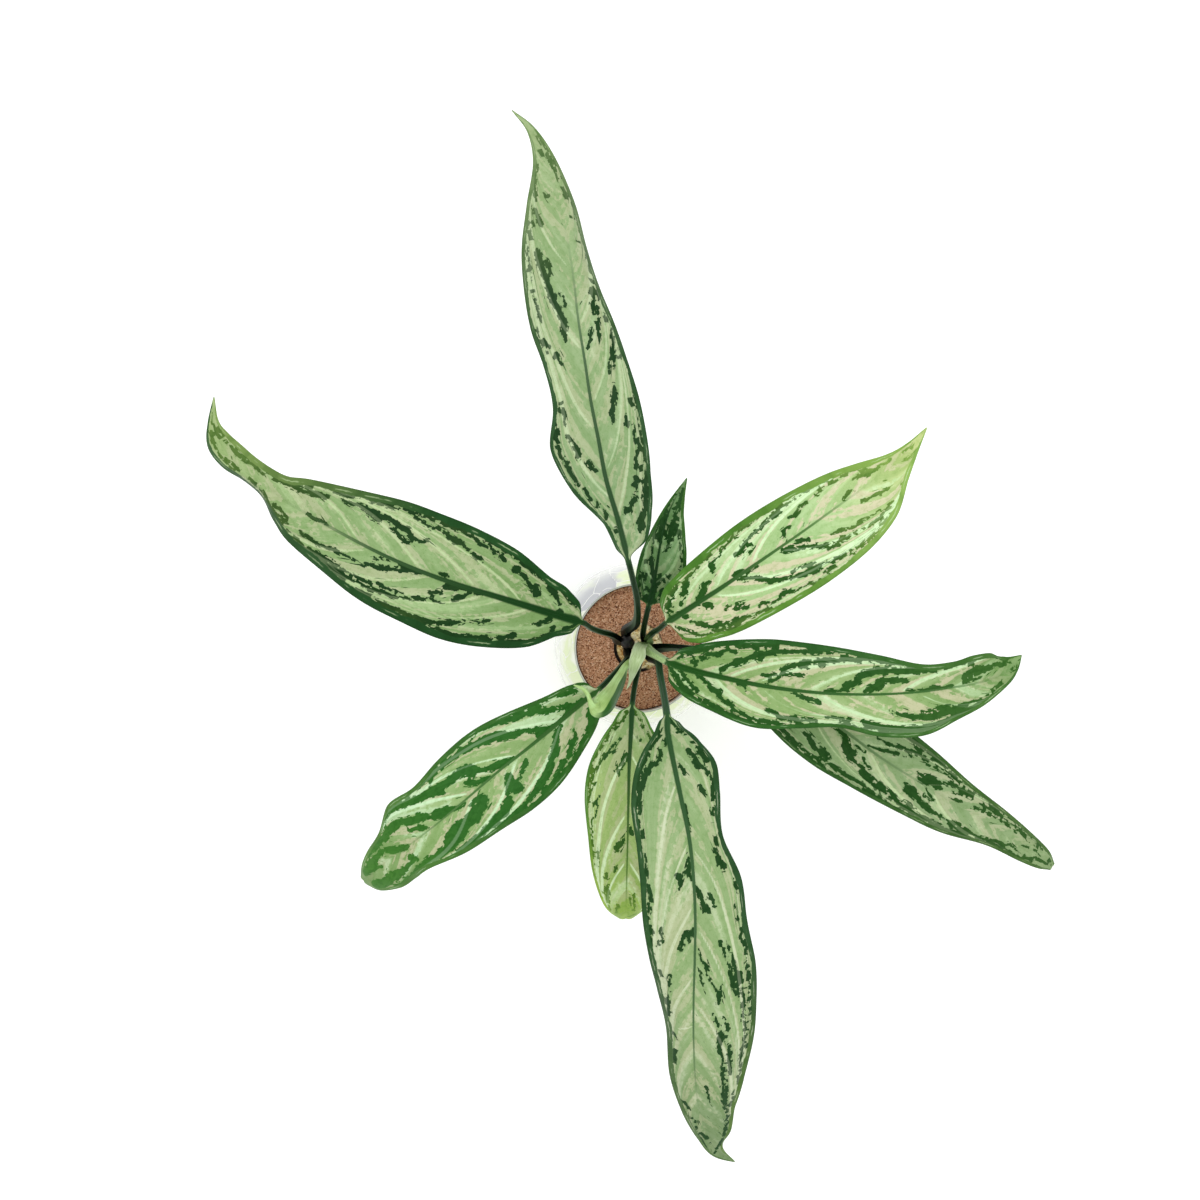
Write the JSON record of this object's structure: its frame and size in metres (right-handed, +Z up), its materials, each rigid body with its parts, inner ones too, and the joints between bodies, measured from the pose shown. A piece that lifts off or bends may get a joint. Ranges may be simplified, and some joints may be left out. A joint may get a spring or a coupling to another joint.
{
  "type": "potted chinese evergreen",
  "caption": "Potted aroid house plant: broad silver-and-green patterned leaves on arching stalks, in a round-bellied glazed planter with a cork disc over the substrate.",
  "frame": {"origin": "centre of the planter's underside", "axes": "+Z up out of the planter; +Y towards the narrow leaf at the top of a picture taken from straight above; +X to that picture's right"},
  "size_m": [0.6101, 0.7329, 0.3154],
  "materials": {
    "glaze": "glossy glaze, pale yellow-green with a raised white net",
    "substrate": "matt coarse chips",
    "cork": "matt granulated cork",
    "cane_bark": "satin, ringed with leaf scars",
    "cane_green": "satin living stem",
    "leaf_silver": "satin leaf, silver-green with dark blotches",
    "leaf_dark": "satin leaf, mostly dark green",
    "leaf_bright": "satin leaf, mint and cream with dark blotches",
    "leaf_green": "satin leaf, mid green with a dark margin",
    "leaf_yellow_green": "satin leaf, yellow-green with small dark specks",
    "new_growth": "satin young leaf, light green",
    "bract_green": "satin bract, pale green"
  },
  "bodies": {
    "root": {"planter_pot": "glaze", "soil": "substrate", "cork_disc": "cork", "cane_old": "cane_bark", "cane_young": "cane_green", "leaf_north": "leaf_silver", "leaf_west": "leaf_silver", "leaf_north_small": "leaf_dark", "leaf_north_east": "leaf_bright", "leaf_east": "leaf_green", "leaf_south_east": "leaf_green", "leaf_south": "leaf_silver", "leaf_south_low": "leaf_yellow_green", "leaf_south_west": "leaf_green", "new_leaf_roll": "new_growth", "bract": "bract_green"}
  },
  "joints": []
}
